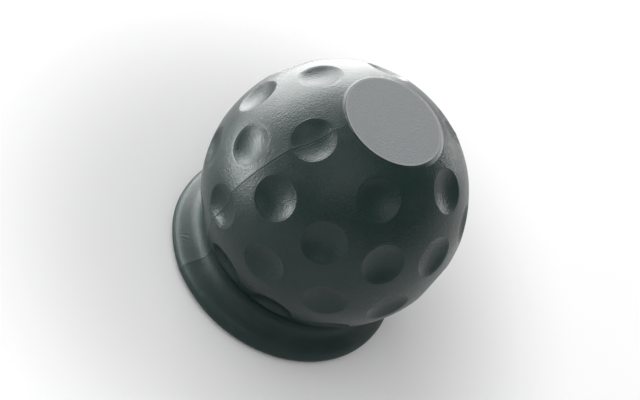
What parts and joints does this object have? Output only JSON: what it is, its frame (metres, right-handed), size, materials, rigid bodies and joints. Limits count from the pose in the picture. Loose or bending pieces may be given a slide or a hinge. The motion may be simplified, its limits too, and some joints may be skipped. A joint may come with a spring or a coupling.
{
  "type": "tow ball cover",
  "caption": "Soft moulded cover for a tow ball: a dimpled hollow ball with a flat on its crown, a throat that grips under the tow ball, and a flared skirt round the mouth.",
  "frame": {"origin": "centre of the rim, on the surface that the cover stands on", "axes": "+Z along the cover's axis, from the rim up to the crown; +X along the mould's parting line"},
  "size_m": [0.069, 0.069, 0.0663],
  "materials": {
    "soft_rubber": "satin, with a fine moulded grain"
  },
  "bodies": {
    "root": {"cover": "soft_rubber"}
  },
  "joints": []
}
